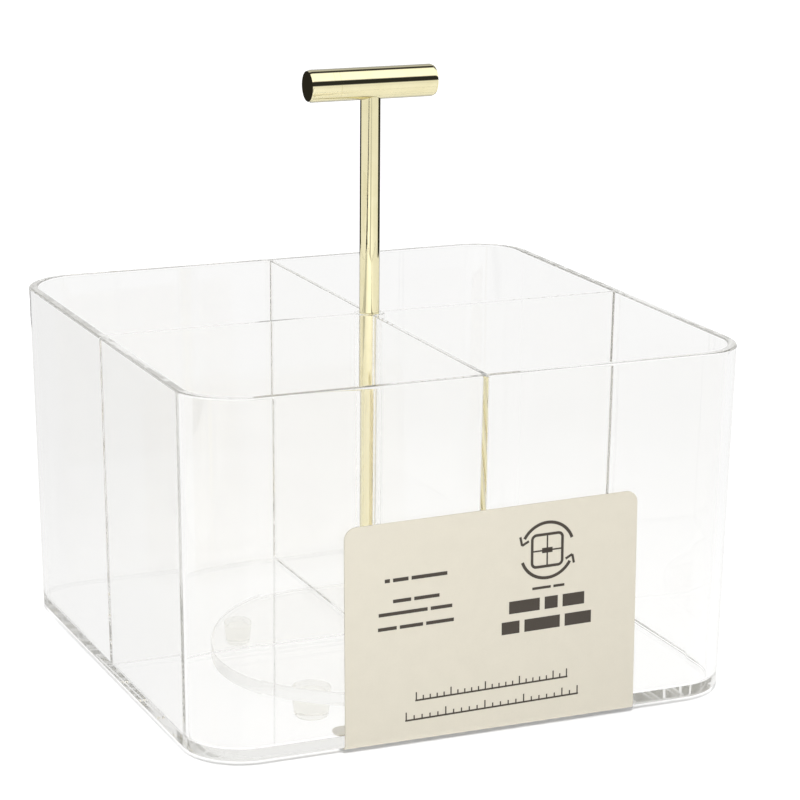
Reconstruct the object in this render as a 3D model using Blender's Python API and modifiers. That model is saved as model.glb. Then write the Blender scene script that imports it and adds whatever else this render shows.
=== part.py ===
"""Rotating desk organizer: a clear four-slot tray with a gold T handle, which turns on a clear disc.

Metres, +Z up. The origin is on the desk, under the turning axis. The front face looks along -Y.
"""

import math

import bmesh
import bpy
from mathutils import Matrix, Vector

# Overall
overall_height = 0.184
fit_gap = 0.0003

# Tray, one thin-walled moulding that widens towards its rim
rim_width = 0.166
tray_height = 0.101
wall_lean = 0.00175
tray_wall = 0.0027
floor_thickness = 0.003
inner_corner_radius = 0.0163
inner_fillet = 0.0009
hem_radius = 0.0012
lip_rounding = 0.0006

# Dividers and the tube that they meet at
divider_top = 0.0014
divider_foot = 0.0022
tube_radius = 0.0045
tube_rounding = 0.0003

# Handle
rod_radius = 0.00295
rod_chamfer = 0.0003
bar_radius = 0.0047
bar_length = 0.0389
bar_chamfer_length = 0.0009
bar_chamfer_depth = 0.00035
seat_depth = 0.0035
stud_radius = 0.0015
stud_in_bar = 0.0025
stud_in_rod = 0.006

# Turntable
disc_radius = 0.0505
disc_thickness = 0.004
disc_rounding = 0.0005
tray_clearance = 0.0006
bumper_radius = 0.00575
bumper_tip_radius = 0.005
bumper_height = 0.0061
bumper_rounding = 0.0009
bumper_inset = 0.007

# Pivot
screw_radius = 0.002
screw_grip = 0.008
screw_chamfer = 0.0004
head_radius = 0.004
head_height = 0.002
head_rounding = 0.0006
socket_radius = 0.0014
socket_depth = 0.0011
washer_radius = 0.006
washer_thickness = 0.0008
bush_wall = 0.0013
slip_radius = 0.007
slip_thickness = 0.0006

# Card folded round the front edge
card_left = 0.041
card_right = 0.047
card_rise = 0.0635
card_flap = 0.013
card_thickness = 0.0004
card_corner_radius = 0.003
card_turn = math.radians(0.9)

# Making
turn_steps = 48
disc_steps = 80
corner_segments = 8
fillet_segments = 3
arc_segments = 3
fold_segments = 6
merge_distance = 0.00001
cut_overrun = 0.001
sharp_angle = math.radians(35.0)

# Heights above the desk, from the bumpers up
disc_underside = bumper_height + fit_gap
disc_top = disc_underside + disc_thickness
tray_underside = disc_top + tray_clearance
floor_top = tray_underside + floor_thickness
rim_height = tray_underside + tray_height
bar_axis = overall_height - bar_radius
rod_foot = floor_top + fit_gap
rod_top = bar_axis - bar_radius + seat_depth - fit_gap

# Sizes that follow others
foot_width = rim_width - 2 * wall_lean
bumper_circle = disc_radius - bumper_inset
outer_corner_radius = inner_corner_radius + tray_wall
draft = math.atan2(wall_lean, tray_height)
wall_inset = tray_wall / math.cos(draft)
clearance_radius = screw_radius + fit_gap
bush_radius = clearance_radius + bush_wall
bore_radius = bush_radius + fit_gap
washer_top = disc_underside - 2 * fit_gap - slip_thickness
head_top = washer_top - washer_thickness - fit_gap
recess_depth = slip_thickness + 2 * fit_gap - tray_clearance


def clear_scene():
    for item in list(bpy.data.objects):
        bpy.data.objects.remove(item, do_unlink=True)


def new_collection(name):
    group = bpy.data.collections.new(name)
    bpy.context.scene.collection.children.link(group)
    return group


def new_finish(name, colour, roughness, metallic=0.0, transmission=0.0):
    finish = bpy.data.materials.new(name)
    finish.use_nodes = True
    shader = finish.node_tree.nodes["Principled BSDF"]
    shader.inputs["Base Color"].default_value = (*colour, 1.0)
    shader.inputs["Roughness"].default_value = roughness
    shader.inputs["Metallic"].default_value = metallic
    shader.inputs["Transmission Weight"].default_value = transmission
    shader.inputs["IOR"].default_value = 1.49
    return finish


def new_group(name):
    """An empty on the turning axis, which carries the pieces that stay together."""
    group = bpy.data.objects.new(name, None)
    parts.objects.link(group)
    return group


def place(piece, group, finish, location=(0.0, 0.0, 0.0), turn=0.0):
    piece.parent = group
    piece.location = location
    piece.rotation_euler.z = turn
    piece.data.materials.clear()
    piece.data.materials.append(finish)
    return piece


def rounded_path(corners, arc_steps):
    """Points along (x, z, radius) corners of a closed path; a corner with a radius becomes an arc."""
    path = []
    for index, (x, z, radius) in enumerate(corners):
        corner = Vector((x, z))
        if radius <= 0:
            path.append(corner)
            continue
        before = (Vector(corners[index - 1][:2]) - corner).normalized()
        after = (Vector(corners[(index + 1) % len(corners)][:2]) - corner).normalized()
        half_angle = before.angle(after) / 2
        centre = corner + (before + after).normalized() * radius / math.sin(half_angle)
        tangent_length = radius / math.tan(half_angle)
        first = corner + before * tangent_length - centre
        last = corner + after * tangent_length - centre
        sweep = -first.angle_signed(last)
        for step in range(arc_steps + 1):
            spoke = first.copy()
            spoke.rotate(Matrix.Rotation(sweep * step / arc_steps, 2))
            path.append(centre + spoke)
    return [(point.x, point.y) for point in path]


def turned(name, profile, closed=False, steps=turn_steps, collection=None):
    """Turn (radius, height) points about Z. The outer side of the profile runs from top to bottom."""
    links = [(index, index + 1) for index in range(len(profile) - 1)]
    if closed:
        links.append((len(profile) - 1, 0))
    outline = bpy.data.meshes.new(name + "_profile")
    outline.from_pydata([(radius, 0.0, height) for radius, height in profile], links, [])
    blank = bpy.data.objects.new(name + "_profile", outline)
    bpy.context.scene.collection.objects.link(blank)
    screw = blank.modifiers.new("Turn", "SCREW")
    screw.steps = steps
    screw.render_steps = steps
    screw.use_merge_vertices = True
    screw.merge_threshold = merge_distance
    mesh = bpy.data.meshes.new_from_object(blank.evaluated_get(bpy.context.evaluated_depsgraph_get()))
    bpy.data.objects.remove(blank, do_unlink=True)
    return mesh_object(name, mesh, collection)


def mesh_object(name, mesh, collection=None):
    mesh.name = name
    mesh.shade_smooth()
    mesh.set_sharp_from_angle(angle=sharp_angle)
    piece = bpy.data.objects.new(name, mesh)
    (collection or parts).objects.link(piece)
    return piece


def bmesh_object(name, bm, collection=None):
    bmesh.ops.recalc_face_normals(bm, faces=bm.faces[:])
    mesh = bpy.data.meshes.new(name)
    bm.to_mesh(mesh)
    bm.free()
    return mesh_object(name, mesh, collection)


def cutter(name, profile, steps=turn_steps):
    """A turned solid that is only used to cut another piece."""
    tool = turned(name, profile, steps=steps, collection=cutters)
    tool.hide_render = True
    tool.display_type = "WIRE"
    return tool


def cut(piece, tool, group, location=(0.0, 0.0, 0.0)):
    tool.parent = group
    tool.location = location
    boolean = piece.modifiers.new("Cut " + tool.name, "BOOLEAN")
    boolean.operation = "DIFFERENCE"
    boolean.solver = "EXACT"
    boolean.object = tool


def plug_profile(radius, bottom, top):
    return [(0.0, top), (radius, top), (radius, bottom), (0.0, bottom)]


def outer_half_width(height):
    """Half the tray's outside width at a height above its underside."""
    return foot_width / 2 + height * math.tan(draft)


def inner_half_width(height):
    return outer_half_width(height) - wall_inset


def square_ring(bm, half_width, radius, height):
    """Points round a square with round corners."""
    ring = []
    for index, (side_x, side_y) in enumerate(((1, 1), (-1, 1), (-1, -1), (1, -1))):
        for step in range(corner_segments + 1):
            angle = math.pi / 2 * (index + step / corner_segments)
            ring.append(bm.verts.new((side_x * (half_width - radius) + radius * math.cos(angle),
                                      side_y * (half_width - radius) + radius * math.sin(angle), height)))
    return ring


def round_ring(bm, radius, height):
    """A circle with as many points as a square ring."""
    count = 4 * (corner_segments + 1)
    angles = [2 * math.pi * (index + 1 / 2) / count for index in range(count)]
    return [bm.verts.new((radius * math.cos(angle), radius * math.sin(angle), height)) for angle in angles]


def tray_shell():
    """A tapered box with round corners, open at the top, lofted from the hole in its underside out
    round the hem, up the wall, over the lip and down to the hole again."""
    middle = inner_half_width(0.0)
    section = rounded_path([
        (middle, 0.0, 0.0),
        (0.0, 0.0, hem_radius),
        (0.0, tray_height, lip_rounding),
        (wall_inset, tray_height, lip_rounding),
        (wall_inset, floor_thickness, inner_fillet),
        (middle, floor_thickness, 0.0),
    ], fillet_segments)
    bm = bmesh.new()
    rings = [round_ring(bm, clearance_radius, 0.0)]
    for inset, height in section[1:-1]:
        rings.append(square_ring(bm, outer_half_width(height) - inset, outer_corner_radius - inset, height))
    rings.append(round_ring(bm, clearance_radius, floor_thickness))
    for lower, upper in zip(rings, rings[1:] + rings[:1]):
        for index in range(len(lower)):
            after = (index + 1) % len(lower)
            bm.faces.new((lower[index], lower[after], upper[after], upper[index]))
    place(bmesh_object("tray_shell", bm), turning, clear_plastic, (0.0, 0.0, tray_underside))


def divider_mesh():
    """One thin wall along +X, from the tube to the tray's wall, thicker at its foot."""
    foot = floor_thickness + fit_gap
    bm = bmesh.new()
    bmesh.ops.create_cube(bm, size=1.0)
    for vert in bm.verts:
        at_rim = vert.co.z > 0
        height = tray_height if at_rim else foot
        near = tube_radius + fit_gap
        far = inner_half_width(height) - fit_gap
        thickness = divider_top if at_rim else divider_foot
        vert.co = (far if vert.co.x > 0 else near, vert.co.y * thickness, height)
    far_low = [edge for edge in bm.edges
               if all(vert.co.z < tray_height / 2 and vert.co.x > rim_width / 4 for vert in edge.verts)]
    bmesh.ops.bevel(bm, geom=far_low, offset=inner_fillet - fit_gap, segments=fillet_segments,
                    profile=0.5, affect="EDGES")
    bmesh.ops.recalc_face_normals(bm, faces=bm.faces[:])
    mesh = bpy.data.meshes.new("divider")
    bm.to_mesh(mesh)
    bm.free()
    return mesh


def dividers():
    mesh = divider_mesh()
    for index, side in enumerate(("right", "back", "left", "front")):
        wall = bpy.data.objects.new("divider_" + side, mesh)
        parts.objects.link(wall)
        place(wall, turning, clear_plastic, (0.0, 0.0, tray_underside), turn=index * math.pi / 2)


def socket_tube():
    """The clear tube where the dividers meet; the rod stands in it."""
    bore = rod_radius + fit_gap
    foot = floor_thickness + fit_gap
    profile = rounded_path([
        (bore, tray_height, tube_rounding),
        (tube_radius, tray_height, tube_rounding),
        (tube_radius, foot, 0.0),
        (bore, foot, 0.0),
    ], arc_segments)
    place(turned("socket_tube", profile, closed=True), turning, clear_plastic, (0.0, 0.0, tray_underside))


def handle_rod():
    """The gold rod, with a tapped hole for the screw in its foot and one for the stud in its top."""
    length = rod_top - rod_foot
    stud_hole = stud_radius + fit_gap
    screw_hole = clearance_radius
    profile = [
        (0.0, length - stud_in_rod),
        (stud_hole, length - stud_in_rod),
        (stud_hole, length),
        (rod_radius - rod_chamfer, length),
        (rod_radius, length - rod_chamfer),
        (rod_radius, rod_chamfer),
        (rod_radius - rod_chamfer, 0.0),
        (screw_hole, 0.0),
        (screw_hole, screw_grip),
        (0.0, screw_grip),
    ]
    place(turned("handle_rod", profile), turning, gold, (0.0, 0.0, rod_foot))


def handle_bar():
    """The crosswise gold grip, turned with chamfered ends, with a seat and a hole for the rod's top."""
    half = bar_length / 2
    profile = [
        (0.0, half),
        (bar_radius - bar_chamfer_depth, half),
        (bar_radius, half - bar_chamfer_length),
        (bar_radius, bar_chamfer_length - half),
        (bar_radius - bar_chamfer_depth, -half),
        (0.0, -half),
    ]
    bar = turned("handle_bar", profile)
    bar.data.transform(Matrix.Rotation(math.pi / 2, 4, "Y"))
    place(bar, turning, gold, (0.0, 0.0, bar_axis))
    seat = rod_top + fit_gap - bar_axis
    seat_radius = rod_radius + fit_gap
    stud_hole = stud_radius + fit_gap
    hole_top = seat + stud_in_bar + fit_gap
    seat_cutter = cutter("bar_seat", [
        (0.0, hole_top),
        (stud_hole, hole_top),
        (stud_hole, seat),
        (seat_radius, seat),
        (seat_radius, -bar_radius - cut_overrun),
        (0.0, -bar_radius - cut_overrun),
    ])
    cut(bar, seat_cutter, turning, (0.0, 0.0, bar_axis))


def handle_stud():
    """The threaded pin that joins the bar to the rod."""
    bottom = rod_top - stud_in_rod + fit_gap
    length = rod_top + fit_gap + stud_in_bar - bottom
    place(turned("handle_stud", plug_profile(stud_radius, 0.0, length)), turning, steel, (0.0, 0.0, bottom))


def pivot_screw():
    """The pan-headed screw that comes up through the disc and the tray into the rod."""
    tip = rod_foot + screw_grip - fit_gap - head_top
    screw = turned("pivot_screw", [
        (0.0, tip),
        (screw_radius - screw_chamfer, tip),
        (screw_radius, tip - screw_chamfer),
    ] + rounded_path([
        (screw_radius, 0.0, 0.0),
        (head_radius, 0.0, 0.0),
        (head_radius, -head_height, head_rounding),
        (0.0, -head_height, 0.0),
    ], arc_segments))
    place(screw, turning, steel, (0.0, 0.0, head_top))
    hexagon = cutter("screw_socket", plug_profile(socket_radius, -head_height - cut_overrun,
                                                  socket_depth - head_height), steps=6)
    cut(screw, hexagon, turning, (0.0, 0.0, head_top))


def ring(name, group, finish, bore, radius, bottom, thickness):
    profile = [(bore, thickness), (radius, thickness), (radius, 0.0), (bore, 0.0)]
    place(turned(name, profile, closed=True), group, finish, (0.0, 0.0, bottom))


def pivot_rings():
    """The bush that the disc turns on, the washer under it, and a slip washer on each side of the disc."""
    ring("pivot_washer", turning, steel, clearance_radius, washer_radius,
         washer_top - washer_thickness, washer_thickness)
    bush_bottom = washer_top + fit_gap
    ring("pivot_bush", turning, steel, clearance_radius, bush_radius,
         bush_bottom, tray_underside - fit_gap - bush_bottom)
    ring("lower_slip_washer", standing, white_plastic, bore_radius, slip_radius,
         disc_underside - fit_gap - slip_thickness, slip_thickness)
    ring("upper_slip_washer", standing, white_plastic, bore_radius, slip_radius,
         tray_underside - fit_gap - slip_thickness, slip_thickness)


def turntable_disc():
    """The clear disc under the tray, with a bore for the bush and a recess for the upper slip washer."""
    recess_radius = slip_radius + fit_gap
    profile = rounded_path([
        (recess_radius, disc_thickness, 0.0),
        (disc_radius, disc_thickness, disc_rounding),
        (disc_radius, 0.0, disc_rounding),
        (bore_radius, 0.0, 0.0),
        (bore_radius, disc_thickness - recess_depth, 0.0),
        (recess_radius, disc_thickness - recess_depth, 0.0),
    ], arc_segments)
    disc = turned("turntable_disc", profile, closed=True, steps=disc_steps)
    place(disc, standing, clear_plastic, (0.0, 0.0, disc_underside))


def bumpers():
    """Four clear stick-on feet, on the disc's diagonals."""
    profile = rounded_path([
        (0.0, bumper_height, 0.0),
        (bumper_radius, bumper_height, 0.0),
        (bumper_tip_radius, 0.0, bumper_rounding),
        (0.0, 0.0, 0.0),
    ], arc_segments)
    mesh = None
    for index, corner in enumerate(("back_right", "back_left", "front_left", "front_right")):
        angle = math.pi / 4 + index * math.pi / 2
        place_on_circle = (bumper_circle * math.cos(angle), bumper_circle * math.sin(angle), 0.0)
        bumper = turned("bumper_" + corner, profile, steps=turn_steps // 2)
        mesh = mesh or bumper.data
        bumper.data = mesh
        place(bumper, standing, clear_rubber, place_on_circle)


def card_side(rise):
    """(depth, height) of the card's inner face in section, from its top edge down and under."""
    clearance = fit_gap / math.cos(draft)
    return rounded_path([
        (-outer_half_width(rise) - clearance, rise, 0.0),
        (-outer_half_width(-fit_gap) - clearance, -fit_gap, hem_radius + fit_gap),
        (card_flap - foot_width / 2, -fit_gap, 0.0),
    ], fold_segments)


def info_card():
    """A thin card against the front wall, put on a little turned, that folds round the hem and lies
    under the floor."""
    slope = math.tan(card_turn)
    left_side = card_side(card_rise - card_left * slope)
    right_side = card_side(card_rise + card_right * slope)
    bm = bmesh.new()
    rows = []
    for (left_y, left_z), (right_y, right_z) in zip(left_side, right_side):
        rows.append([bm.verts.new((-card_left - left_z * slope, left_y, left_z)),
                     bm.verts.new((card_right - right_z * slope, right_y, right_z))])
    for upper, lower in zip(rows, rows[1:]):
        bm.faces.new((upper[0], lower[0], lower[1], upper[1]))
    bmesh.ops.bevel(bm, geom=rows[0], offset=card_corner_radius, segments=corner_segments,
                    profile=0.5, affect="VERTICES")
    card = bmesh_object("info_card", bm)
    sheet = card.modifiers.new("Sheet", "SOLIDIFY")
    sheet.thickness = card_thickness
    sheet.offset = 1.0
    sheet.use_even_offset = True
    place(card, turning, card_board, (0.0, 0.0, tray_underside))


clear_scene()
parts = new_collection("rotating_desk_organizer")
cutters = new_collection("cutters")
turning = new_group("turning_axis")
standing = new_group("standing_base")
clear_plastic = new_finish("clear_plastic", (0.97, 0.98, 0.98), 0.03, transmission=1.0)
clear_rubber = new_finish("clear_rubber", (0.93, 0.93, 0.88), 0.12, transmission=0.9)
gold = new_finish("gold", (0.87, 0.74, 0.42), 0.12, metallic=1.0)
steel = new_finish("steel", (0.62, 0.62, 0.61), 0.3, metallic=1.0)
white_plastic = new_finish("white_plastic", (0.88, 0.88, 0.85), 0.45)
card_board = new_finish("card_board", (0.74, 0.69, 0.6), 0.6)

tray_shell()
dividers()
socket_tube()
handle_rod()
handle_bar()
handle_stud()
pivot_screw()
pivot_rings()
turntable_disc()
bumpers()
info_card()
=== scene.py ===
# %% [markdown]
# # Rotating desk organizer
# A clear four-slot tray with a gold T handle, turning on a clear disc with soft feet.
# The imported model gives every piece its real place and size, and it is loaded first, because
# everything below is measured from it. Clear plastic has almost no colour of its own: what the eye
# reads is the room, bent and mirrored by its edges. So most of the work here is in three things:
# an optically whole tray, a believable studio around it, and a polished metal to catch that studio.

# %% Load the frame
import math

import bmesh
import bpy
from mathutils import Matrix, Vector


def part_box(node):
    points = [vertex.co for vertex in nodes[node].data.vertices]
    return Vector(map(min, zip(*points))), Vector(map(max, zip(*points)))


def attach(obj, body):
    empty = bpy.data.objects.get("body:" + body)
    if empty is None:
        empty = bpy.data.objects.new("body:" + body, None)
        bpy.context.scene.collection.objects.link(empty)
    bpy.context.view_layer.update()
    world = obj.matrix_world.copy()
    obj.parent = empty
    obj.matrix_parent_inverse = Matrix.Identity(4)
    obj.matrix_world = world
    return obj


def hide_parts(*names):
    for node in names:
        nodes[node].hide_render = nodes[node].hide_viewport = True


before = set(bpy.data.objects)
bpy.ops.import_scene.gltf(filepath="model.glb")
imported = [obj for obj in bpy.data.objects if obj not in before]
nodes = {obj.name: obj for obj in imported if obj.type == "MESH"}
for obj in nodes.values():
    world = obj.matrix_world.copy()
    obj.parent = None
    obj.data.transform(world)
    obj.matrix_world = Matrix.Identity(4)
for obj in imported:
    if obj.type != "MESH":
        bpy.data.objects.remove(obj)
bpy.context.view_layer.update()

MM = 0.001

# %% [markdown]
# ## Camera
# The photograph was taken from a little to the left of the front, looking down by about fourteen
# degrees, through a long lens: the tray's far walls are hardly smaller than its near ones. The place
# and the lens come from fitting the rim, the floor and the handle, and no shift is needed. The camera
# is turned in three plain steps: down from the vertical, round the object, and a slight roll.

# %% Camera
camera_place = Vector((-0.32073, -0.76369, 0.29877))
camera_azimuth = math.radians(-23.417)
camera_elevation = math.radians(14.439)
camera_roll = math.radians(0.463)
lens_length = 130.54
sensor_width = 36.0

camera_data = bpy.data.cameras.new("camera")
camera_data.lens = lens_length
camera_data.sensor_width = sensor_width
camera = bpy.data.objects.new("camera", camera_data)
bpy.context.scene.collection.objects.link(camera)
camera.matrix_world = (
    Matrix.Translation(camera_place)
    @ Matrix.Rotation(camera_azimuth, 4, "Z")
    @ Matrix.Rotation(math.pi / 2 - camera_elevation, 4, "X")
    @ Matrix.Rotation(camera_roll, 4, "Z")
)
bpy.context.scene.camera = camera
bpy.context.scene.view_settings.view_transform = "Standard"
print("camera distance to the axis, mm:", round(camera_place.xy.length / MM))

# %% [markdown]
# ## Nodes in a few words
# Every material below is a small node tree. Two helpers keep them readable: one adds a node with its
# values set, and one makes a maths node. Sockets are linked by passing them as a value.

# %% Node helpers
def add_node(tree, kind, settings=None, **sockets):
    """Adds a node; settings are its own options, sockets its inputs by name, as values or links."""
    node = tree.nodes.new(kind)
    for name, value in (settings or {}).items():
        setattr(node, name, value)
    for name, value in sockets.items():
        plug(tree, node.inputs[name.replace("_", " ")], value)
    return node


def plug(tree, socket, value):
    """Links value to the socket if it is another node's output, or else sets it."""
    if isinstance(value, bpy.types.NodeSocket):
        tree.links.new(value, socket)
    else:
        socket.default_value = value


def maths(tree, operation, *values, clamp=False):
    """A maths node's result."""
    node = add_node(tree, "ShaderNodeMath", {"operation": operation, "use_clamp": clamp})
    for socket, value in zip(node.inputs, values):
        plug(tree, socket, value)
    return node.outputs[0]


def ramp(tree, value, stops, smooth=False):
    """A colour ramp's result; stops are (place, grey or colour)."""
    node = add_node(tree, "ShaderNodeValToRGB", Fac=value)
    node.color_ramp.interpolation = "EASE" if smooth else "LINEAR"
    elements = node.color_ramp.elements
    while len(elements) < len(stops):
        elements.new(1.0)
    for element, (place, shade) in zip(elements, stops):
        element.position = place
        element.color = (*shade, 1.0) if isinstance(shade, tuple) else (shade, shade, shade, 1.0)
    return node.outputs["Color"]


def blank_tree(owner):
    """An owner's node tree with nothing in it."""
    owner.use_nodes = True
    owner.node_tree.nodes.clear()
    return owner.node_tree


# %% [markdown]
# ## The studio round the object
# The handle tells what the studio was. Its crossbar shows a black band, which is the dark room in
# front, under a cream band, which is a long softbox overhead, and a thin dark line above it, where the
# softbox ends and the grey backdrop starts. One angle sorts this out: the elevation of a direction
# seen along the crossbar, from the front (0) over the top (90) to the back (180). Rays that come by way
# of clear plastic see the same bands, but washed out: a real tray's edges scatter a little, and stay
# pale. A camera ray sees plain white, and a ray from a matt surface an even grey that lights it.

# %% Studio surroundings
sky_light = 0.55
studio_bands = (
    (0, 1.0, 0.93),
    (2, 1.0, 0.93),
    (8, 0.03, 0.72),
    (35, 0.03, 0.68),
    (42, 1.4, 1.0),
    (102, 1.3, 1.0),
    (108, 0.04, 0.7),
    (124, 0.04, 0.7),
    (131, 0.62, 0.85),
    (150, 0.7, 1.0),
    (170, 1.0, 1.0),
)

world = bpy.data.worlds.new("studio")
bpy.context.scene.world = world
tree = blank_tree(world)
direction = add_node(tree, "ShaderNodeTexCoord").outputs["Generated"]
axes = add_node(tree, "ShaderNodeSeparateXYZ", Vector=direction)
angle = maths(tree, "ARCTAN2", axes.outputs["Z"], maths(tree, "MULTIPLY", axes.outputs["Y"], -1.0))
angle = maths(tree, "DIVIDE", angle, math.pi, clamp=True)
mirrored = ramp(tree, angle, [(degrees / 180, shade) for degrees, shade, _ in studio_bands])
washed_out = ramp(tree, angle, [(degrees / 180, shade) for degrees, _, shade in studio_bands])
sight = add_node(tree, "ShaderNodeLightPath").outputs


def choose(tree, factor, first, second):
    """The first colour or link where factor is 0, and the second where it is 1."""
    node = add_node(tree, "ShaderNodeMix", {"data_type": "RGBA"}, Factor=factor)
    plug(tree, node.inputs["A"], first)
    plug(tree, node.inputs["B"], second)
    return node.outputs["Result"]


through_plastic = maths(tree, "GREATER_THAN", sight["Transmission Depth"], 0.5)
seen_in_gloss = maths(tree, "MAXIMUM", sight["Is Glossy Ray"], sight["Is Transmission Ray"])
seen_in_gloss = maths(tree, "MULTIPLY", seen_in_gloss,
                      maths(tree, "LESS_THAN", sight["Diffuse Depth"], 0.5))
shade = choose(tree, through_plastic, mirrored, washed_out)
shade = choose(tree, seen_in_gloss, (sky_light, sky_light, sky_light, 1.0), shade)
shade = choose(tree, sight["Is Camera Ray"], shade, (1.0, 1.0, 1.0, 1.0))
background = add_node(tree, "ShaderNodeBackground", Color=shade)
add_node(tree, "ShaderNodeOutputWorld", Surface=background.outputs[0])
print("studio bands:", len(studio_bands))

# %% [markdown]
# ## Floor
# The desk is a wide sheet that goes off to white. Its own colour is a light grey, so that it can hold
# the object's shadow, and a glow that only the camera sees lifts its lit part to white. The glow grows
# outward, because close to the object the lamps do more of the work.

# %% Floor sheet
floor_reach = 3.0
floor_shade = 0.8
glow_from = 0.1
glow_to = 0.3
near_glow = 0.15
far_glow = 0.5

floor_mesh = bpy.data.meshes.new("floor")
bm = bmesh.new()
bmesh.ops.create_grid(bm, x_segments=1, y_segments=1, size=floor_reach)
bm.to_mesh(floor_mesh)
bm.free()
floor = bpy.data.objects.new("floor", floor_mesh)
bpy.context.scene.collection.objects.link(floor)
print("floor side, m:", 2 * floor_reach)

# %% [markdown]
# Where a point of the floor lies is told by its distance from the object and by its turn about it, in
# degrees: 0 in front, 90 to the right, 180 behind.

# %% Floor places
finish = bpy.data.materials.new("white_table")
tree = blank_tree(finish)
spot = add_node(tree, "ShaderNodeTexCoord").outputs["Object"]
place = add_node(tree, "ShaderNodeSeparateXYZ", Vector=spot).outputs
turn = maths(tree, "ARCTAN2", place["X"], maths(tree, "MULTIPLY", place["Y"], -1.0))
turn = maths(tree, "DEGREES", turn)
reach = add_node(tree, "ShaderNodeVectorMath", {"operation": "LENGTH"})
tree.links.new(spot, reach.inputs[0])
sight = add_node(tree, "ShaderNodeLightPath").outputs


def between(tree, value, low, high):
    """1 where the value is between low and high, and 0 elsewhere."""
    above = maths(tree, "GREATER_THAN", value, low)
    return maths(tree, "MULTIPLY", above, maths(tree, "LESS_THAN", value, high))


def span(tree, value, start, end, first, last):
    """Goes from first to last while the value goes from start to end."""
    node = add_node(tree, "ShaderNodeMapRange", Value=value)
    for label, amount in zip(("From Min", "From Max", "To Min", "To Max"), (start, end, first, last)):
        node.inputs[label].default_value = amount
    return node.outputs[0]


def outward(tree, near, far):
    """A value that goes from near to far with the distance from the object."""
    return span(tree, reach.outputs["Value"], glow_from, glow_to, near, far)


print("glow grows from and to, m:", glow_from, glow_to)

# %% [markdown]
# The polished rod mirrors dark places round the white table: dark at the far left and right and
# behind, with one thin dark line down its left half. These are painted reflections: black patches and a
# thin dark line painted on the floor, which only a ray with one reflection behind it sees. The near
# left wall mirrors a slightly greyer band, painted the same way. Clear edges, which reflect dozens of
# times, don't see them and stay pale.

# %% Reflections painted on the floor
painted_reflection_reach = 0.5
painted_dark_turns = ((-180.0, -163.0), (157.0, 180.0), (80.0, 130.0))
far_painted_reach = 0.64
far_painted_turns = (-163.0, -142.0)
painted_line_band = (-0.53, -0.4)
painted_line_slant = -0.25
faint_painted_line = 0.5
painted_grey_band = (-0.28, -0.084)

once = maths(tree, "COMPARE", sight["Glossy Depth"], 1.0, 0.5)
past_plastic = maths(tree, "GREATER_THAN", sight["Transmission Depth"], 0.5)
mirrored_once = maths(tree, "MULTIPLY", once, maths(tree, "SUBTRACT", 1.0, past_plastic))
# Painted reflection: the floor turns black for mirror rays in these turns, beyond a reach.
dark = 0.0
for low, high in painted_dark_turns:
    dark = maths(tree, "ADD", between(tree, turn, low, high), dark)
dark = maths(tree, "MULTIPLY", dark, maths(tree, "GREATER_THAN", reach.outputs["Value"], painted_reflection_reach))
far_painted_reflection = maths(tree, "MULTIPLY", between(tree, turn, *far_painted_turns),
                 maths(tree, "GREATER_THAN", reach.outputs["Value"], far_painted_reach))
dark = maths(tree, "ADD", dark, far_painted_reflection, clamp=True)
dark = maths(tree, "MULTIPLY", dark, mirrored_once)
# Painted reflection: a thin dark line for mirror rays, fainter when seen past plastic.
across = maths(tree, "ADD", place["X"], maths(tree, "MULTIPLY", place["Y"], painted_line_slant))
painted_line = maths(tree, "MULTIPLY", between(tree, across, *painted_line_band), once)
painted_line = maths(tree, "MULTIPLY", painted_line, span(tree, past_plastic, 0.0, 1.0, 1.0, faint_painted_line))
painted_line = maths(tree, "MULTIPLY", painted_line, maths(tree, "LESS_THAN", place["Y"], 0.0))
dark = maths(tree, "MAXIMUM", dark, painted_line)
# Painted reflection: a greyer band that only a mirror ray with no plastic behind it sees.
painted_grey_reflection = maths(tree, "MULTIPLY", between(tree, place["X"], *painted_grey_band), mirrored_once)
print("dark sides, degrees:", [*painted_dark_turns, far_painted_turns])

# %% [markdown]
# Rays that come by way of plastic or metal see an almost even white sheet. A patch of lamplight in
# dozens of clear edges would look like dirt, so little of the lit floor is mixed in.

# %% Floor shader
near_through = 1.08
far_through = 0.985
in_metal = 1.0
through_share = 0.88
painted_grey_shade = 0.66
painted_dark_colour = (0.03, 0.028, 0.025, 1.0)


def mixed(tree, factor, first, second):
    """The first shader where factor is 0, and the second where it is 1."""
    node = add_node(tree, "ShaderNodeMixShader", Fac=factor)
    tree.links.new(first.outputs[0], node.inputs[1])
    tree.links.new(second.outputs[0], node.inputs[2])
    return node


strength = maths(tree, "MULTIPLY", sight["Is Camera Ray"], outward(tree, near_glow, far_glow))
paper = add_node(tree, "ShaderNodeBsdfDiffuse", Color=(floor_shade, floor_shade, floor_shade, 1.0))
glow = add_node(tree, "ShaderNodeEmission", Strength=strength)
lit = add_node(tree, "ShaderNodeAddShader")
tree.links.new(paper.outputs[0], lit.inputs[0])
tree.links.new(glow.outputs[0], lit.inputs[1])
more = maths(tree, "SUBTRACT", outward(tree, near_through, far_through), in_metal)
more = maths(tree, "MULTIPLY", sight["Is Transmission Ray"], more)
even = add_node(tree, "ShaderNodeEmission", Strength=maths(tree, "ADD", more, in_metal))
indirect = maths(tree, "ADD", sight["Is Transmission Ray"], sight["Is Glossy Ray"], clamp=True)
seen = mixed(tree, maths(tree, "MULTIPLY", indirect, through_share), lit, even)
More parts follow.
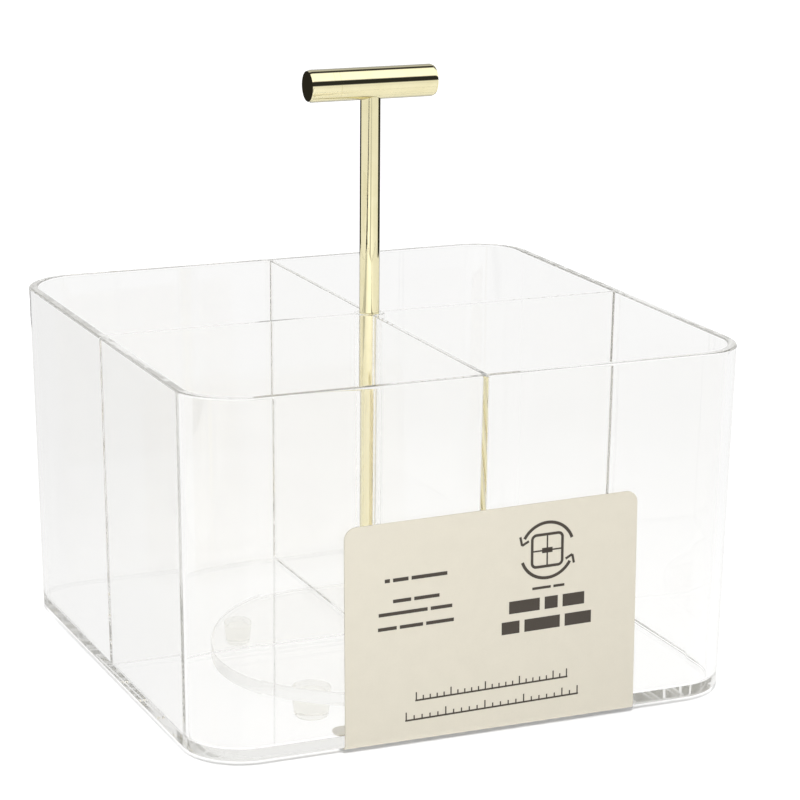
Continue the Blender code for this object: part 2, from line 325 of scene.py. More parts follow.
# The painted reflections go in last: a grey band and black patches, glowing, seen only in mirrors.
seen = mixed(tree, painted_grey_reflection, seen, add_node(tree, "ShaderNodeEmission", Strength=painted_grey_shade))
seen = mixed(tree, dark, seen, add_node(tree, "ShaderNodeEmission", Color=painted_dark_colour))
add_node(tree, "ShaderNodeOutputMaterial", Surface=seen.outputs[0])
floor_mesh.materials.append(finish)
print("floor seen through plastic, near and far:", near_through, far_through)

# %% [markdown]
# ## Lamps
# One broad, soft key from the upper left gives form, and the even sky fills the rest. A sun lamp is
# used because it lights a long floor evenly. It is hidden from mirrors and glass, which see the
# softboxes painted into the studio instead.

# %% Key lamp
key_strength = 0.8
key_elevation = math.radians(52.0)
key_azimuth = math.radians(-35.0)
key_softness = math.radians(35.0)


def place_lamp(lamp, receivers=None):
    """Puts a lamp in the scene, out of sight of mirrors and glass, and lets it light only receivers."""
    lamp.visible_glossy = False
    lamp.visible_transmission = False
    bpy.context.scene.collection.objects.link(lamp)
    if receivers:
        lamp.light_linking.receiver_collection = receivers


key_data = bpy.data.lights.new("key", "SUN")
key_data.energy = key_strength
key_data.angle = key_softness
key = bpy.data.objects.new("key", key_data)
key.rotation_euler = (math.pi / 2 - key_elevation, 0.0, key_azimuth)
place_lamp(key)
print("key elevation:", round(math.degrees(key_elevation)))

# %% [markdown]
# A photograph taken with a flash by the lens has almost no shadow, only a thin dark line that hugs the
# bottom edges. A small disk lamp just over the lens makes that line. It lights the floor and nothing
# else, so that it leaves no spot on the card or the gold.

# %% Lamp over the lens
lens_lamp_power = 14.5
lens_lamp_size = 0.018
lens_lamp_rise = 0.032

lens_data = bpy.data.lights.new("over_lens", "AREA")
lens_data.shape = "DISK"
lens_data.energy = lens_lamp_power
lens_data.size = lens_lamp_size
lens_lamp = bpy.data.objects.new("over_lens", lens_data)
lens_lamp.matrix_world = camera.matrix_world @ Matrix.Translation((0.0, lens_lamp_rise, 0.0))
floor_only = bpy.data.collections.new("floor_only")
floor_only.objects.link(floor)
place_lamp(lens_lamp, floor_only)
print("lamp over the lens, W:", lens_lamp_power)

# %% [markdown]
# The back of the card is what the clear walls, the rim and the rod see of it. Left in its own shade it
# would stain all of them, so a lamp from behind lights the card alone, without shadows. The card joins
# its collection further down.

# %% Lamp behind the card
card_back_light = 3.6
card_back_elevation = math.radians(17.33)

back_data = bpy.data.lights.new("behind_card", "SUN")
back_data.energy = card_back_light
back_data.use_shadow = False
back_lamp = bpy.data.objects.new("behind_card", back_data)
back_lamp.rotation_euler = (math.pi / 2 - card_back_elevation, 0.0, math.pi)
card_only = bpy.data.collections.new("card_only")
place_lamp(back_lamp, card_only)
print("lamp behind the card, W/m2:", card_back_light)

# %% [markdown]
# Light that enters a rim or a wall's end runs down inside the wall by dozens of total reflections
# before it finds a way out. A path that is cut short before that ends black, and draws every edge in
# black, so the paths are very long here. It costs little, because few rays go that far.

# %% Light paths
bounces = 160
shadow_layers = 48

cycles = bpy.context.scene.cycles
cycles.max_bounces = bounces
cycles.transmission_bounces = bounces
cycles.glossy_bounces = bounces
cycles.transparent_max_bounces = shadow_layers
print("bounces:", bounces)

# %% [markdown]
# ## Shared surface effects
# Clear plastic, plated metal and card all carry the same small marks: hairlines from wiping, broad
# smudges from hands, a fine grain. Each effect is one node group with named inputs and outputs, made
# once and placed in each material with its own values. A group gives only masks and heights; the
# shader itself stays in the material.

# %% Group helper
def new_effect(name, inputs, outputs):
    """An empty node group; inputs are (name, value), outputs are names of plain numbers."""
    group = bpy.data.node_groups.new(name, "ShaderNodeTree")
    for label, value in inputs:
        socket = group.interface.new_socket(label, in_out="INPUT", socket_type="NodeSocketFloat")
        socket.default_value = value
    for label in outputs:
        group.interface.new_socket(label, in_out="OUTPUT", socket_type="NodeSocketFloat")
    entry = group.nodes.new("NodeGroupInput")
    leave = group.nodes.new("NodeGroupOutput")
    return group, entry.outputs, leave.inputs


def use_effect(tree, group, **values):
    """Places a group in a material and returns its outputs."""
    node = tree.nodes.new("ShaderNodeGroup")
    node.node_tree = group
    for name, value in values.items():
        plug(tree, node.inputs[name.replace("_", " ")], value)
    return node.outputs


# %% [markdown]
# ### Hairlines
# A hairline is long and thin, so its noise is stretched: fine across, slow along. Two sets that cross
# at a slant keep it from looking combed.

# %% Hairline scratches
hairlines, given, result = new_effect(
    "hairline_scratches", [("Scale", 400.0), ("Amount", 0.3)], ["Mask"])
where = add_node(hairlines, "ShaderNodeTexCoord").outputs["Object"]
sets = []
for turn_degrees, tilt in ((24.0, 0.5), (-51.0, -0.4)):
    mapping = add_node(hairlines, "ShaderNodeMapping", Vector=where,
                       Rotation=(tilt, 0.3, math.radians(turn_degrees)), Scale=(1.0, 0.02, 0.05))
    noise = add_node(hairlines, "ShaderNodeTexNoise", Vector=mapping.outputs[0],
                     Scale=given["Scale"], Detail=2.0)
    sets.append(maths(hairlines, "GREATER_THAN", noise.outputs["Fac"], 0.68))
both = maths(hairlines, "MAXIMUM", *sets)
hairlines.links.new(maths(hairlines, "MULTIPLY", both, given["Amount"]), result["Mask"])

# %% [markdown]
# ### Smudges and grain
# Smudges are broad and soft: noise whose own noise bends it. Grain is a fine noise that gives a
# height for bump and a value for a slight change of colour.

# %% Smudges and grain
smudges, given, result = new_effect("soft_smudges", [("Scale", 30.0), ("Amount", 1.0)], ["Mask"])
where = add_node(smudges, "ShaderNodeTexCoord").outputs["Object"]
noise = add_node(smudges, "ShaderNodeTexNoise", Vector=where, Scale=given["Scale"],
                 Detail=4.0, Roughness=0.6, Distortion=0.8)
soft = span(smudges, noise.outputs["Fac"], 0.42, 0.72, 0.0, 1.0)
smudges.links.new(maths(smudges, "MULTIPLY", soft, given["Amount"]), result["Mask"])

grain, given, result = new_effect("fine_grain", [("Scale", 2500.0)], ["Height", "Value"])
where = add_node(grain, "ShaderNodeTexCoord").outputs["Object"]
noise = add_node(grain, "ShaderNodeTexNoise", Vector=where, Scale=given["Scale"], Detail=3.0)
broad = add_node(grain, "ShaderNodeTexNoise", Vector=where, Detail=2.0,
                 Scale=maths(grain, "MULTIPLY", given["Scale"], 0.08))
grain.links.new(noise.outputs["Fac"], result["Height"])
grain.links.new(maths(grain, "ADD", maths(grain, "MULTIPLY", noise.outputs["Fac"], 0.5),
                      maths(grain, "MULTIPLY", broad.outputs["Fac"], 0.5)), result["Value"])
print("effects:", [group.name for group in bpy.data.node_groups])

# %% [markdown]
# ## Finishes
# Clear plastic is a Principled shader with full transmission. Left alone it throws a black shadow,
# because a lamp's ray can't bend through it, so for shadow rays a tinted Transparent shader stands in.
# Its colour is the share of light that one face lets by. A rounded edge bends a lamp's ray away, so it
# lets little by, and that gives the tray's bottom edge its shadow line. The plastic also takes a little
# light over its depth. A wall of under three millimetres stays clear, but in an edge, where light goes
# a hundred millimetres and more, it leaves a soft grey.

# %% Clear plastics
rounded_edge = (0.1, 0.97)
edge_shadow = (0.12, 0.12, 0.115, 1.0)
depth_tint = (0.55, 0.54, 0.48, 1.0)


def clear_finish(name, tint, shadow_tint, clean_roughness, marked_roughness, index, haze, density):
    """A clear plastic whose smudges and hairlines show in its gloss."""
    finish = bpy.data.materials.new(name)
    tree = blank_tree(finish)
    lines = use_effect(tree, hairlines, Scale=260.0, Amount=0.35)["Mask"]
    marks = use_effect(tree, smudges, Scale=38.0, Amount=0.7)["Mask"]
    wear = maths(tree, "ADD", lines, marks, clamp=True)
    roughness = span(tree, wear, 0.0, 1.0, clean_roughness, marked_roughness)
    dull = tuple(part * (1 - haze) for part in tint)
    shader = add_node(tree, "ShaderNodeBsdfPrincipled", Roughness=roughness,
                      Base_Color=choose(tree, wear, (*tint, 1.0), (*dull, 1.0)), IOR=index,
                      Transmission_Weight=1.0, Metallic=0.0)
    lamp_ray = add_node(tree, "ShaderNodeLightPath").outputs["Is Shadow Ray"]
    facing = add_node(tree, "ShaderNodeSeparateXYZ",
                      Vector=add_node(tree, "ShaderNodeNewGeometry").outputs["Normal"]).outputs["Z"]
    rounded = between(tree, maths(tree, "ABSOLUTE", facing), *rounded_edge)
    let_by = add_node(tree, "ShaderNodeBsdfTransparent",
                      Color=choose(tree, rounded, (*shadow_tint, 1.0), edge_shadow))
    surface = mixed(tree, lamp_ray, shader, let_by)
    depth = add_node(tree, "ShaderNodeVolumeAbsorption", Color=depth_tint, Density=density)
    add_node(tree, "ShaderNodeOutputMaterial", Surface=surface.outputs[0], Volume=depth.outputs[0])
    return finish


clear_tray_finish = clear_finish(
    "clear_tray", tint=(0.99, 0.989, 0.984), shadow_tint=(0.95, 0.95, 0.945),
    clean_roughness=0.0, marked_roughness=0.02, index=1.49, haze=0.01, density=2.0)
clear_disc_finish = clear_finish(
    "clear_disc", tint=(0.99, 0.989, 0.984), shadow_tint=(0.95, 0.95, 0.945),
    clean_roughness=0.0, marked_roughness=0.03, index=1.49, haze=0.01, density=0.7)
clear_rubber_finish = clear_finish(
    "clear_rubber", tint=(0.9, 0.89, 0.83), shadow_tint=(0.9, 0.9, 0.88),
    clean_roughness=0.06, marked_roughness=0.14, index=1.5, haze=0.04, density=2.0)

# %% [markdown]
# Gold on the handle is a thin bright plating over polished steel. It is pale, nearly champagne, and
# mirrors the room sharply, so its roughness is low and only hairlines and finger marks raise it. A
# polished rod mirrors the far dark ends of a room at its outline, also where clear plastic hides them
# here. That is a painted reflection: the plating's colour is made darker where it turns away from the
# view.

# %% Metals
# Painted reflection: between these facing values the plating's colour darkens to this share of itself.
outline_from = 0.55
outline_to = 0.8
painted_outline_shade = 0.2


def metal_finish(name, colour, worn_colour, clean_roughness, marked_roughness, line_scale, rim=0.0):
    """A metal whose colour and gloss change with smudges and hairlines; rim sets a painted reflection
    that darkens its outline.
    """
    finish = bpy.data.materials.new(name)
    tree = blank_tree(finish)
    lines = use_effect(tree, hairlines, Scale=line_scale, Amount=0.6)["Mask"]
    marks = use_effect(tree, smudges, Scale=90.0, Amount=0.6)["Mask"]
    wear = maths(tree, "ADD", lines, marks, clamp=True)
    roughness = span(tree, wear, 0.0, 1.0, clean_roughness, marked_roughness)
    relief = use_effect(tree, grain, Scale=1800.0)["Height"]
    bump = add_node(tree, "ShaderNodeBump", Height=relief, Strength=0.02, Distance=0.0001)
    plating = choose(tree, wear, (*colour, 1.0), (*worn_colour, 1.0))
    # Painted reflection: the plating's colour goes darker where the surface turns away from the view.
    if rim:
        facing = add_node(tree, "ShaderNodeLayerWeight", Blend=0.5).outputs["Facing"]
        painted_outline = span(tree, facing, outline_from, outline_to, 0.0, rim)
        painted_dark_plating = tuple(part * painted_outline_shade for part in colour)
        plating = choose(tree, painted_outline, plating, (*painted_dark_plating, 1.0))
    shader = add_node(tree, "ShaderNodeBsdfPrincipled", Roughness=roughness,
                      Base_Color=plating, Metallic=1.0, Normal=bump.outputs[0])
    add_node(tree, "ShaderNodeOutputMaterial", Surface=shader.outputs[0])
    return finish


gold_finish = metal_finish("gold", (0.865, 0.8, 0.525), (0.8, 0.73, 0.45), 0.045, 0.12, 900.0, rim=0.9)
steel_finish = metal_finish("steel", (0.66, 0.66, 0.65), (0.5, 0.5, 0.49), 0.22, 0.4, 1400.0)

# %% [markdown]
# The slip washers are milky nylon, and the card is a warm uncoated board with a dark brown print.
# Both are matt, so their detail is in the grain: a bump you feel rather than see, and a slight
# unevenness of tone.

# %% Matt finishes
def matt_finish(name, colour, uneven, roughness, grain_scale, relief):
    """A matt material with a fine grain and a slightly uneven tone."""
    finish = bpy.data.materials.new(name)
    tree = blank_tree(finish)
    fibre = use_effect(tree, grain, Scale=grain_scale)
    marks = use_effect(tree, smudges, Scale=60.0, Amount=0.5)["Mask"]
    darker = tuple(part * (1 - uneven) for part in colour)
    lighter = tuple(min(1.0, part * (1 + uneven)) for part in colour)
    bump = add_node(tree, "ShaderNodeBump", Height=fibre["Height"], Strength=relief, Distance=0.0001)
    gloss = span(tree, marks, 0.0, 1.0, roughness, roughness * 0.85)
    shader = add_node(tree, "ShaderNodeBsdfPrincipled", Roughness=gloss,
                      Base_Color=choose(tree, fibre["Value"], (*darker, 1.0), (*lighter, 1.0)),
                      Normal=bump.outputs[0])
    add_node(tree, "ShaderNodeOutputMaterial", Surface=shader.outputs[0])
    return finish


nylon_finish = matt_finish("white_plastic", (0.86, 0.86, 0.83), 0.04, 0.42, 1600.0, 0.2)
card_finish = matt_finish("card", (0.665, 0.625, 0.525), 0.05, 0.72, 2600.0, 0.35)
ink_finish = matt_finish("brown_ink", (0.05, 0.038, 0.026), 0.15, 0.5, 2600.0, 0.2)
print("finishes:", len(bpy.data.materials))

# %% [markdown]
# ## Mesh helpers
# Turned pieces are a profile swept round the axis. Flat faces beside round ones need care in clear
# plastic and polished metal: if a flat face shares its shading with the arc next to it, it bends the
# view like a lens. Weighted normals let the large faces win, and keep them optically flat.

# %% Mesh helpers
sharp_from = math.radians(28.0)


def finish_piece(piece, material, body, replaced):
    """Shades a piece, gives it its material and says what it rides on and stands for."""
    piece.data.shade_smooth()
    piece.data.set_sharp_from_angle(angle=sharp_from)
    weights = piece.modifiers.new("Flat faces stay flat", "WEIGHTED_NORMAL")
    weights.keep_sharp = True
    piece.data.materials.clear()
    piece.data.materials.append(material)
    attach(piece, body)
    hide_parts(*replaced)
    return piece


def object_from(name, bm):
    """Turns a bmesh into an object with its faces pointing out."""
    bmesh.ops.recalc_face_normals(bm, faces=bm.faces[:])
    mesh = bpy.data.meshes.new(name)
    bm.to_mesh(mesh)
    bm.free()
    piece = bpy.data.objects.new(name, mesh)
    bpy.context.scene.collection.objects.link(piece)
    return piece


def arc(centre, radius, first, last, steps):
    """Points of an arc in the profile plane, with its angles in degrees."""
    angles = [math.radians(first + (last - first) * step / steps) for step in range(steps + 1)]
    return [(centre[0] + radius * math.cos(a), centre[1] + radius * math.sin(a)) for a in angles]


def turned(name, profile, steps, place=(0.0, 0.0, 0.0)):
    """Turns (radius, height) points round Z into a closed solid; the profile starts and ends on the
    axis, or is a closed loop off it."""
    bm = bmesh.new()
    rings = []
    for radius, height in profile:
        if radius == 0.0:
            rings.append([bm.verts.new((0.0, 0.0, height))])
            continue
        angles = [2 * math.pi * step / steps for step in range(steps)]
        rings.append([bm.verts.new((radius * math.cos(a), radius * math.sin(a), height))
                      for a in angles])
    pairs = list(zip(rings, rings[1:]))
    if profile[0][0] > 0:
        pairs.append((rings[-1], rings[0]))
    for lower, upper in pairs:
        skin(bm, lower, upper)
    piece = object_from(name, bm)
    piece.location = place
    return piece


def skin(bm, first, second):
    """Joins two rings with faces; a ring of one point closes as a fan."""
    count = max(len(first), len(second))
    for k in range(count):
        corners = [first[k % len(first)], first[(k + 1) % len(first)],
                   second[(k + 1) % len(second)], second[k % len(second)]]
        corners = [c for index, c in enumerate(corners) if c not in corners[:index]]
        bm.faces.new(corners)


def carve(piece, tools):
    """Applies boolean steps, given as (operation, tool), and removes the tools."""
    for operation, tool in tools:
        step = piece.modifiers.new(operation, "BOOLEAN")
        step.operation = operation
        step.solver = "EXACT"
        step.object = tool
    bpy.context.view_layer.update()
    carved = bpy.data.meshes.new_from_object(piece.evaluated_get(bpy.context.evaluated_depsgraph_get()))
    piece.modifiers.clear()
    piece.data = carved
    for _, tool in tools:
        bpy.data.objects.remove(tool, do_unlink=True)
    return piece


# %% [markdown]
# ## Clear tray
# The real tray is one clear body: its walls, its floor, the crossed dividers and the centre tube are
# moulded or cemented together with no air between them. Light runs along a divider as along a window
# pane seen edge on, which is why the gold rod shows as a gold line where a divider meets the front
# wall. The frame keeps these as separate solids with a hair's gap, and that gap would mirror. So this
# piece joins them: a shell lofted through rings of a rounded square, two tapered slabs, and a tube.
# Inside, its corners are a little tighter than the outer ones, which leaves them thicker: light is
# caught there and draws the grey strip at the near corner.

# %% Tray sizes from the frame
tray_low, tray_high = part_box("tray_shell")
tube_low, tube_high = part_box("socket_tube")
divider_low, divider_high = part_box("divider_right")
underside = tray_low.z
rim_height = divider_high.z
rim_half = tray_high.x
wall = 2.7 * MM
lean = 1.75 * MM
foot_half = rim_half - lean
outer_corner = 19.0 * MM
inner_corner = 14.5 * MM
inner_fillet = 0.9 * MM
lip_round = 0.6 * MM
hem = 1.2 * MM
floor_top = divider_low.z - 0.3 * MM
tube_radius = tube_high.x
bore_radius = 3.25 * MM
screw_hole = 2.3 * MM
divider_foot = divider_high.y - divider_low.y
divider_rim = 1.4 * MM
print("tray underside, floor and rim, mm:",
      [round(z / MM, 2) for z in (underside, floor_top, rim_height)])
print("half width at foot and rim, mm:", round(foot_half / MM, 2), round(rim_half / MM, 2))
print("divider foot, mm:", round(divider_foot / MM, 2))

# %% Tray shell
corner_steps = 20


def outer_half(z):
    """Half the outside width at a height."""
    return foot_half + (rim_half - foot_half) * (z - underside) / (rim_height - underside)


def square_ring(bm, half, radius, z):
    """A ring of a square with round corners."""
    ring = []
    for corner in range(4):
        for step in range(corner_steps + 1):
            a = math.pi / 2 * (corner + step / corner_steps)
            middle = math.pi / 2 * corner + math.pi / 4
            centre = (half - radius) * math.sqrt(2)
            ring.append(bm.verts.new((centre * math.cos(middle) + radius * math.cos(a),
                                      centre * math.sin(middle) + radius * math.sin(a), z)))
    return ring


def hole_ring(bm, radius, z):
    """A round ring with as many points as the square one, for the screw's hole."""
    count = 4 * (corner_steps + 1)
    angles = [2 * math.pi * (k + 0.5) / count for k in range(count)]
    return [bm.verts.new((radius * math.cos(a), radius * math.sin(a), z)) for a in angles]


def corner_radius(inset):
    """The corner's radius at a distance in from the outer face."""
    inside = inner_corner + wall - inset
    return max(min(outer_corner - inset * (outer_corner - inner_corner) / wall, inside), 1 * MM)


def shell_profile():
    """(inset from the outer face, height) from the underside up, over the lip and down to the floor."""
    profile = [(hem - x, underside + hem + y) for x, y in arc((0, 0), hem, -90, 0, 12)]
    profile += [(lip_round - x, rim_height - lip_round + y) for x, y in arc((0, 0), lip_round, 0, 90, 5)]
    profile += [(wall - lip_round - x, rim_height - lip_round + y)
                for x, y in arc((0, 0), lip_round, 90, 180, 5)]
    profile += [(wall + inner_fillet + x, floor_top + inner_fillet + y)
                for x, y in arc((0, 0), inner_fillet, 180, 270, 6)]
    return profile


bm = bmesh.new()
rings = [hole_ring(bm, screw_hole, underside)]
for inset, z in shell_profile():
    rings.append(square_ring(bm, outer_half(z) - inset, corner_radius(inset), z))
rings.append(hole_ring(bm, screw_hole, floor_top))
for lower, upper in zip(rings, rings[1:] + rings[:1]):
    skin(bm, lower, upper)
tray = object_from("clear_tray", bm)
print("tray shell faces:", len(tray.data.polygons))

# %% [markdown]
# A divider is thicker at its foot than at its rim, so that it leaves the mould. Its ends flare into the
# walls with a small fillet, and reach half into them, like its foot into the floor; the union takes
# away what is inside. It is lofted through level outlines. Its top stays a hair under the rim, and the
# two crossed walls differ by another hair, because a union of faces in one plane can tear.

# %% Dividers and centre tube
divider_drop = 0.05 * MM
divider_edge = 0.22 * MM
divider_fillet = 0.45 * MM


def divider_outline(z, thickness):
    """Points round a divider at a height, with its ends flared."""
    inner = outer_half(z) - wall + 0.02 * MM
    half = thickness / 2
    quarter = [(inner - divider_fillet + x, half + divider_fillet + y)
               for x, y in arc((0.0, 0.0), divider_fillet, -90, 0, 5)]
    quarter.append((inner + wall / 2, half + divider_fillet))
    right = [(x, -y) for x, y in quarter] + [(x, y) for x, y in reversed(quarter)]
    return [(x, y, z) for x, y in right] + [(-x, -y, z) for x, y in right]


def divider_slab(turn, hair):
    """One tapered wall right across the tray, turned about the axis and lowered by a hair."""
    sunk = floor_top - wall / 2 - hair
    top = rim_height - divider_drop - hair
    slope = (divider_foot - divider_rim) / (rim_height - floor_top)
    levels = [(sunk, divider_foot), (top - divider_edge, divider_rim + slope * divider_edge)]
    levels += [(top - divider_edge + y, divider_rim - 2 * (divider_edge - x))
               for x, y in arc((0.0, 0.0), divider_edge, 0, 90, 3)][1:]
    bm = bmesh.new()
    rings = [[bm.verts.new(point) for point in divider_outline(z, thickness)] for z, thickness in levels]
    for lower, upper in zip(rings, rings[1:]):
        skin(bm, lower, upper)
    bm.faces.new(rings[0])
    bm.faces.new(rings[-1])
    slab = object_from("divider_slab", bm)
    slab.data.transform(Matrix.Rotation(turn, 4, "Z"))
    return slab


tube_edge = 0.3 * MM
tube_steps = 96
tube_profile = [(0.0, rim_height)]
tube_profile += [(tube_radius - tube_edge + x, rim_height - tube_edge + y)
                 for x, y in arc((0, 0), tube_edge, 90, 0, 4)]
tube_profile += [(tube_radius, floor_top - wall / 3), (0.0, floor_top - wall / 3)]
tube = turned("tube", tube_profile, tube_steps)
bore_profile = [(0.0, rim_height + wall), (bore_radius + tube_edge, rim_height + wall),
                (bore_radius + tube_edge, rim_height)]
bore_profile += [(bore_radius + tube_edge + x, rim_height - tube_edge + y)
                 for x, y in arc((0, 0), tube_edge, 90, 180, 4)][1:]
bore_profile += [(bore_radius, floor_top), (0.0, floor_top)]
bore = turned("bore", bore_profile, tube_steps)
carve(tray, [("UNION", divider_slab(0.0, 0.0)), ("UNION", divider_slab(math.pi / 2, 0.02 * MM)),
             ("UNION", tube), ("DIFFERENCE", bore)])
finish_piece(tray, clear_tray_finish, "tray",
             ["tray_shell", "divider_right", "divider_back", "divider_left", "divider_front",
              "socket_tube"])
print("joined tray faces:", len(tray.data.polygons))

# %% [markdown]
# ## Gold handle
# A plain rod and a short crossbar, both turned from bar stock. The bar's ends have a small chamfer,
# which shows as a bright ring. Polished metal shows every flat, so both get many more sides than the
# frame has. The rod's top sits in a seat in the bar, cut to its own radius.

# %% Rod
rod_low, rod_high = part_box("handle_rod")
rod_radius = rod_high.x
rod_chamfer = 0.3 * MM
stud_hole = 1.8 * MM
stud_depth = 6.0 * MM
screw_depth = 8.0 * MM
rod = turned("gold_rod", [
    (0.0, rod_high.z - stud_depth),
    (stud_hole, rod_high.z - stud_depth),
    (stud_hole, rod_high.z),
    (rod_radius - rod_chamfer, rod_high.z),
    (rod_radius, rod_high.z - rod_chamfer),
    (rod_radius, rod_low.z + rod_chamfer),
    (rod_radius - rod_chamfer, rod_low.z),
    (screw_hole, rod_low.z),
    (screw_hole, rod_low.z + screw_depth),
    (0.0, rod_low.z + screw_depth),
], 128)
finish_piece(rod, gold_finish, "tray", ["handle_rod"])
print("rod length, mm:", round((rod_high.z - rod_low.z) / MM, 1))

# %% Crossbar
bar_low, bar_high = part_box("handle_bar")
bar_half = bar_high.x
bar_radius = (bar_high.z - bar_low.z) / 2
bar_axis = (bar_high.z + bar_low.z) / 2
chamfer_length = 0.9 * MM
chamfer_depth = 0.35 * MM
seat_gap = 0.03 * MM
seat_play = 0.3 * MM
bar = turned("gold_crossbar", [
    (0.0, bar_half),
    (bar_radius - chamfer_depth, bar_half),
    (bar_radius, bar_half - chamfer_length),
    (bar_radius, chamfer_length - bar_half),
    (bar_radius - chamfer_depth, -bar_half),
    (0.0, -bar_half),
], 160)
bar.data.transform(Matrix.Translation((0.0, 0.0, bar_axis)) @ Matrix.Rotation(math.pi / 2, 4, "Y"))
stud_low, stud_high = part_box("handle_stud")
seat = turned("seat", [
    (0.0, stud_high.z + seat_play),
    (stud_hole, stud_high.z + seat_play),
    (stud_hole, rod_high.z + seat_play),
    (rod_radius + seat_gap, rod_high.z + seat_play),
    (rod_radius + seat_gap, bar_low.z - bar_radius),
    (0.0, bar_low.z - bar_radius),
], 128)
carve(bar, [("DIFFERENCE", seat)])
finish_piece(bar, gold_finish, "tray", ["handle_bar"])
print("crossbar length, mm:", round(2 * bar_half / MM, 1))

# %% [markdown]
# ## Turntable
# Under the tray a clear disc stands on four soft feet, and the tray turns on it about a screw. Seen
# through the tray's floor it is only a few faint arcs: the disc's rounded rim and the feet's outlines.

# %% Disc and feet
disc_low, disc_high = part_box("turntable_disc")
disc_radius = disc_high.x
disc_round = 0.5 * MM
washer_low, washer_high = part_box("upper_slip_washer")
recess_floor = washer_low.z - 0.3 * MM
recess_radius = washer_high.x + 0.3 * MM
disc_bore = 3.9 * MM
profile = [(recess_radius, disc_high.z)]
profile += [(disc_radius - disc_round + x, disc_high.z - disc_round + y)
            for x, y in arc((0, 0), disc_round, 90, 0, 5)]
profile += [(disc_radius - disc_round + x, disc_low.z + disc_round + y)
            for x, y in arc((0, 0), disc_round, 0, -90, 5)]
profile += [(disc_bore, disc_low.z), (disc_bore, recess_floor), (recess_radius, recess_floor)]
disc = turned("clear_turntable", profile, 192)
finish_piece(disc, clear_disc_finish, "base", ["turntable_disc"])

for corner in ("back_right", "back_left", "front_left", "front_right"):
    low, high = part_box("bumper_" + corner)
    middle = (low + high) / 2
    radius = (high.x - low.x) / 2
    tip = radius - 0.75 * MM
    tip_round = 0.9 * MM
    profile = [(0.0, high.z), (radius - 0.15 * MM, high.z), (radius, high.z - 0.15 * MM)]
    profile += [(tip - tip_round + x, low.z + tip_round + y)
                for x, y in arc((0, 0), tip_round, 0, -90, 6)]
    profile += [(0.0, low.z)]
    foot = turned("soft_foot_" + corner, profile, 64, (middle.x, middle.y, 0.0))
    finish_piece(foot, clear_rubber_finish, "base", ["bumper_" + corner])
print("disc radius, mm:", round(disc_radius / MM, 1))

# %% [markdown]
# The pivot's own pieces, the stud, screw, washers and bush, have the right shape in the frame
# already. They only need their metal and nylon.

# %% Pivot pieces
for name in ("handle_stud", "pivot_screw", "pivot_washer", "pivot_bush"):
    nodes[name].data.materials.clear()
    nodes[name].data.materials.append(steel_finish)
for name in ("lower_slip_washer", "upper_slip_washer"):
    nodes[name].data.materials.clear()
    nodes[name].data.materials.append(nylon_finish)

# %% [markdown]
# ## Card
# A printed card is folded round the front edge: it stands against the front wall, put on a little
# crooked, and its flap goes under the floor. It is cut from board less than half a millimetre thick.
# A point on it is given by (across, up) along the card itself, and carried onto the wall or the bend.

# %% Card
card_low, card_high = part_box("info_card")
card_thick = 0.4 * MM
card_gap = 0.05 * MM
card_corner = 3.4 * MM
card_left = -40.6 * MM
card_right = 47.0 * MM
card_rise = 63.5 * MM
card_flap = 13.0 * MM
card_turn = math.radians(0.9)
lean_angle = math.atan2(lean, rim_height - underside)
fold_steps = 8


def on_wall(across, up, lift):
    """A point over the card's wall side; lift is its distance from the tray's wall."""
    x = across - up * math.sin(card_turn)
    rise = (up + across * math.sin(card_turn)) * math.cos(lean_angle)
    z = underside + rise
    return Vector((x, -outer_half(z) - lift / math.cos(lean_angle), z))


def card_rows(across):
    """Points of the card's inner face at one distance across, from the top edge down and under."""
    bend = hem + card_gap
    top = on_wall(across, card_rise, card_gap)
    shift = top.x + card_rise * math.sin(card_turn)
    path = [top]
    for y, z in arc((-outer_half(underside + hem) + hem, underside + hem), bend, 180, 270, fold_steps):
        path.append(Vector((shift - (z - underside) * math.sin(card_turn), y, z)))
    path.append(Vector((shift, card_flap - foot_half, underside - card_gap)))
    return path


bm = bmesh.new()
columns = [[bm.verts.new(point) for point in card_rows(across)] for across in (card_left, card_right)]
for k in range(len(columns[0]) - 1):
    bm.faces.new((columns[0][k], columns[0][k + 1], columns[1][k + 1], columns[1][k]))
corners = [column[k] for column in columns for k in (0, -1)]
bmesh.ops.bevel(bm, geom=corners, offset=card_corner, segments=12, profile=0.5, affect="VERTICES")
card = object_from("printed_card", bm)
sheet = card.modifiers.new("Board", "SOLIDIFY")
sheet.thickness = card_thick
sheet.offset = 1.0
sheet.use_even_offset = True
bpy.context.view_layer.update()
flat = bpy.data.meshes.new_from_object(card.evaluated_get(bpy.context.evaluated_depsgraph_get()))
card.modifiers.clear()
card.data = flat
finish_piece(card, card_finish, "tray", ["info_card"])
card_only.objects.link(card)
print("card width and rise, mm:", round((card_right - card_left) / MM, 1), round(card_rise / MM, 1))

# %% [markdown]
# ### Print
# The ink is a film a few hundredths of a millimetre thick. Each mark is a stroke: a line of points
# given a width and a little height. Straight strokes make bars and rules, and curved ones arrows and
# round corners. The marks are generic: a tray seen from above with an arrow round it, lines of bars
# where a text would stand, and a measure with ticks.

# %% Strokes
ink_sunk = 0.02 * MM
ink_height = 0.045 * MM
ink_base = card_gap + card_thick - ink_sunk
ink_mesh = bmesh.new()


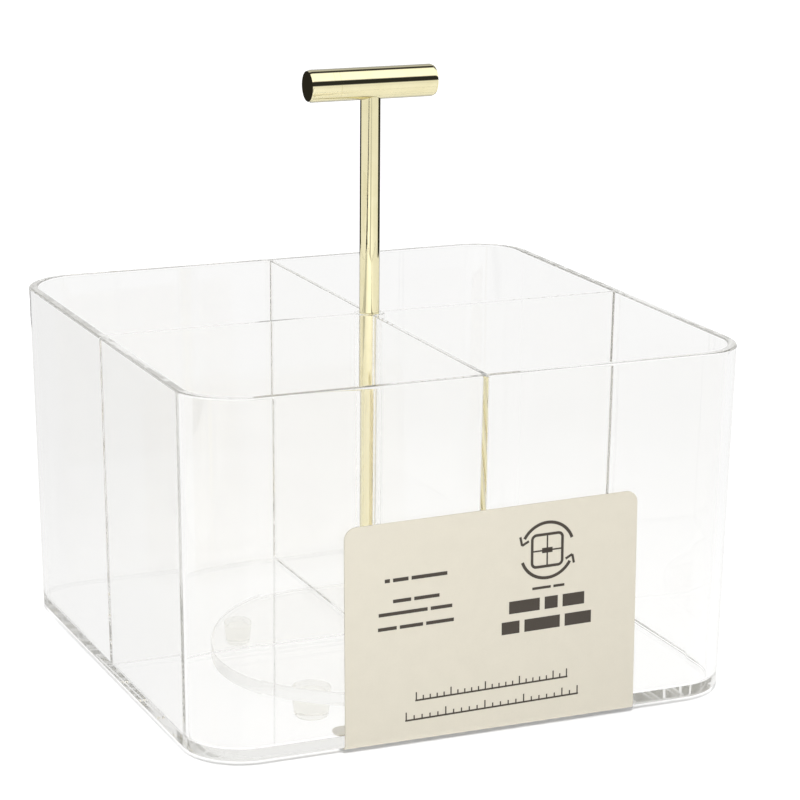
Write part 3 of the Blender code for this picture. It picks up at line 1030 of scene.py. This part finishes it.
def stroke(points, width, closed=False):
    """Adds a closed ridge of ink along (across, up) points in millimetres on the card."""
    points = [Vector(point) for point in points]
    count = len(points)
    sides = []
    for k, point in enumerate(points):
        before = points[k - 1] if closed or k > 0 else point
        after = points[(k + 1) % count] if closed or k < count - 1 else point
        into = (point - before).normalized() if point != before else (after - point).normalized()
        out = (after - point).normalized() if after != point else into
        along = (into + out).normalized()
        across = Vector((-along.y, along.x)) * (width / 2 / max(along.dot(into), 0.5))
        sides.append((point + across, point - across))
    rings = []
    for left, right in sides:
        ring = []
        for spot, lift in ((left, 0.0), (right, 0.0), (right, ink_height), (left, ink_height)):
            ring.append(ink_mesh.verts.new(on_wall(spot.x * MM, spot.y * MM, ink_base + lift)))
        rings.append(ring)
    for first, second in zip(rings, rings[1:]):
        skin(ink_mesh, first, second)
    if closed:
        skin(ink_mesh, rings[-1], rings[0])
    else:
        ink_mesh.faces.new(rings[0])
        ink_mesh.faces.new(rings[-1])


def round_square(centre, half, radius, steps=8):
    """Points round a square with round corners."""
    points = []
    for corner, (side_x, side_y) in enumerate(((1, 1), (-1, 1), (-1, -1), (1, -1))):
        middle = (centre[0] + side_x * (half - radius), centre[1] + side_y * (half - radius))
        points += arc(middle, radius, 90 * corner, 90 * corner + 90, steps)
    return points


def bars(left, right, up, height, lengths, gap):
    """A row of bars between left and right, with the given relative lengths."""
    room = right - left - gap * (len(lengths) - 1)
    start = left
    for length in lengths:
        stop = start + room * length / sum(lengths)
        stroke([(start, up), (stop, up)], height)
        start = stop + gap


# %% Printed marks
mark = (19.4, 49.7)
stroke(round_square(mark, 4.6, 1.3), 0.8, closed=True)
stroke([(mark[0] - 4.3, mark[1]), (mark[0] + 4.3, mark[1])], 0.45)
stroke([(mark[0], mark[1] - 4.3), (mark[0], mark[1] + 4.3)], 0.45)
stroke([(mark[0] - 1.6, mark[1]), (mark[0] + 1.6, mark[1])], 1.5)
for first, last in ((20, 150), (200, 330)):
    stroke(arc(mark, 8.0, first, last, 24), 0.9)
    tip = math.radians(last + 14)
    root = math.radians(last)
    for reach_in, reach_out in ((6.5, 8.0), (9.5, 8.0)):
        stroke([(mark[0] + reach_in * math.cos(root), mark[1] + reach_in * math.sin(root)),
                (mark[0] + reach_out * math.cos(tip), mark[1] + reach_out * math.sin(tip))], 0.7)

bars(15.0, 24.8, 39.0, 0.75, (5, 3), 0.8)
bars(8.0, 31.0, 34.4, 3.6, (7, 3, 5), 1.5)
bars(5.8, 33.2, 28.6, 3.6, (4, 8, 6), 1.5)

bars(-29.0, -10.6, 47.2, 1.05, (1, 3, 7), 0.9)
bars(-26.6, -12.9, 41.2, 1.0, (5, 7), 0.9)
bars(-30.8, -9.1, 37.7, 1.0, (9, 4), 0.9)
bars(-31.0, -8.6, 33.6, 1.0, (4, 5, 6), 0.9)

for left, right, up in ((-20.0, 26.2, 11.7), (-23.0, 29.6, 6.2)):
    stroke([(left, up), (right, up)], 0.5)
    ticks = 22
    for k in range(ticks + 1):
        at = left + 0.3 + (right - left - 0.6) * k / ticks
        long_tick = k % 5 == 0 or k == ticks
        stroke([(at, up + 0.2), (at, up + (2.4 if long_tick else 1.3))], 0.38)

print_piece = object_from("card_print", ink_mesh)
finish_piece(print_piece, ink_finish, "tray", [])
print("print faces:", len(print_piece.data.polygons))
